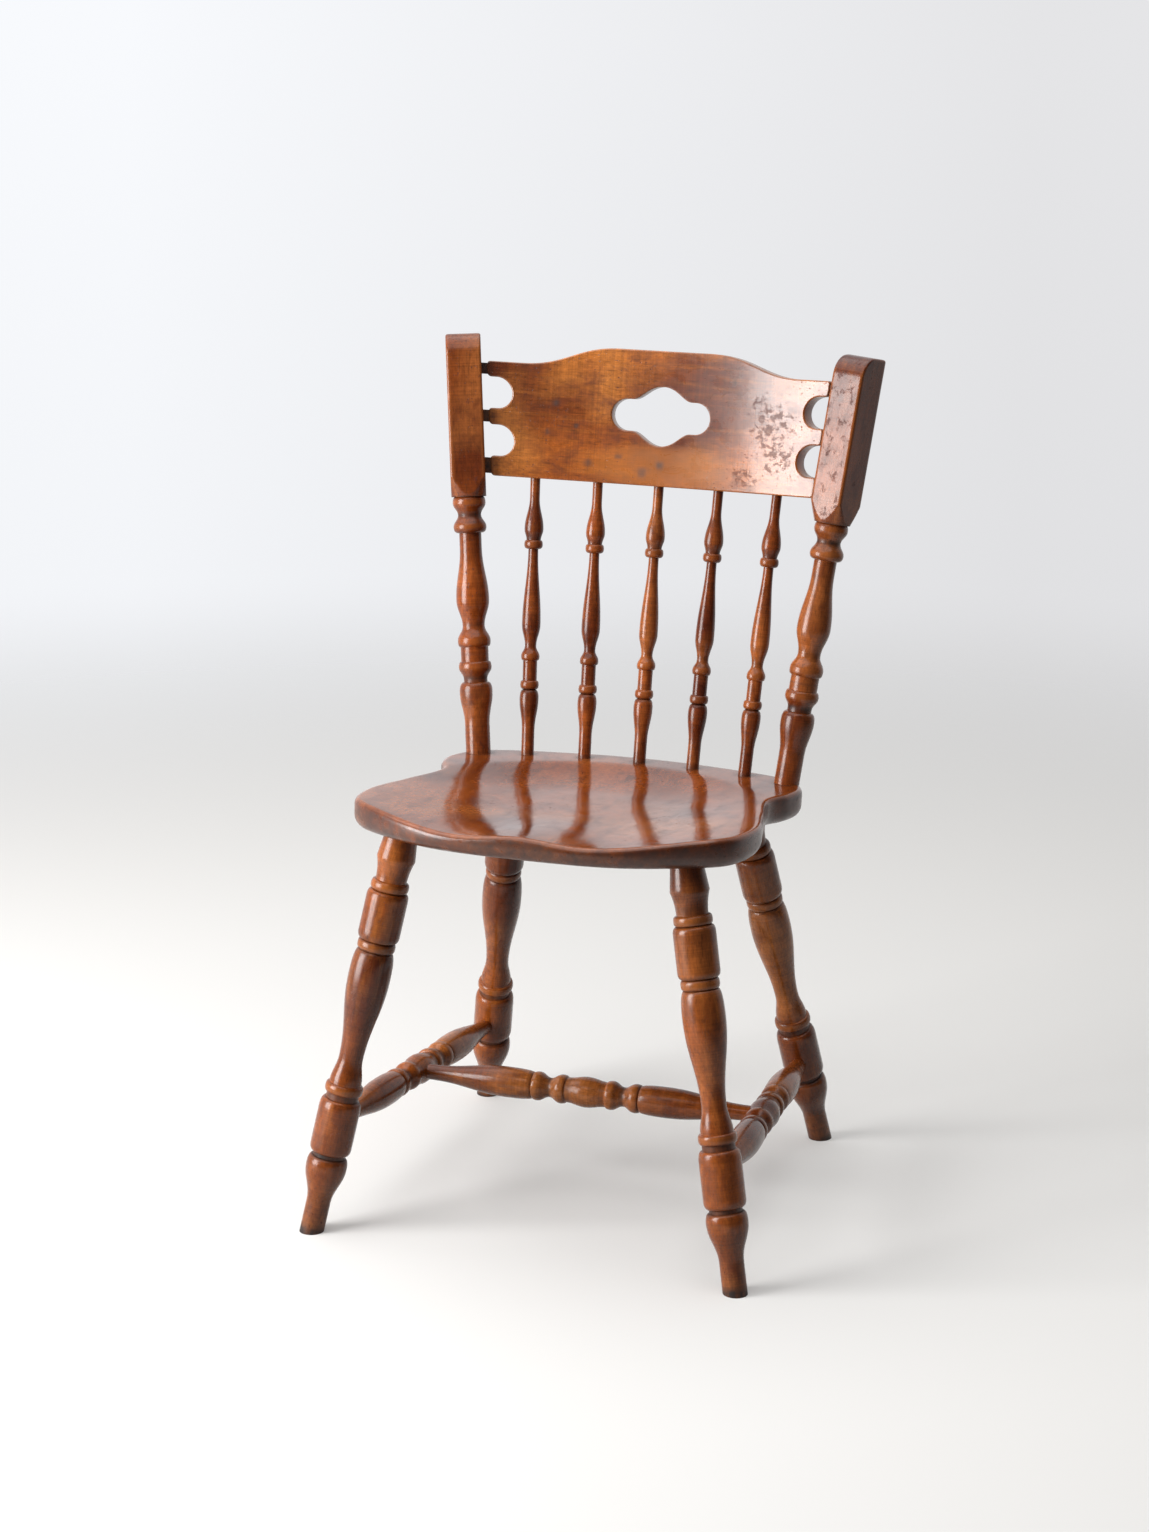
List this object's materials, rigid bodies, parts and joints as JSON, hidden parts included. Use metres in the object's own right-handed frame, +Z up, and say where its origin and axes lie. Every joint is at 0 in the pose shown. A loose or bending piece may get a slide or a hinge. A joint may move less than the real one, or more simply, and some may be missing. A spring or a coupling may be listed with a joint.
{
  "type": "spindle-back side chair",
  "caption": "Varnished wooden side chair: scooped plank seat on splayed turned legs with an H stretcher, turned back posts and spindles, and a bent, pierced crest rail.",
  "frame": {"origin": "on the floor, under the middle of the chair's bounding box", "axes": "+Z up, -Y to the chair's front, +X to the right as seen from the front"},
  "size_m": [0.5004, 0.4874, 0.8934],
  "materials": {
    "seat": "stained brown, glossy worn varnish",
    "back": "stained amber brown, glossy worn varnish",
    "legs": "stained red-brown, glossy worn varnish"
  },
  "bodies": {
    "root": {"seat": "seat", "crest_rail": "back", "post_left": "back", "post_right": "back", "spindle_1": "back", "spindle_2": "back", "spindle_3": "back", "spindle_4": "back", "spindle_5": "back", "leg_front_left": "legs", "leg_front_right": "legs", "leg_back_left": "legs", "leg_back_right": "legs", "side_stretcher_left": "legs", "side_stretcher_right": "legs", "cross_stretcher": "legs"}
  },
  "joints": []
}
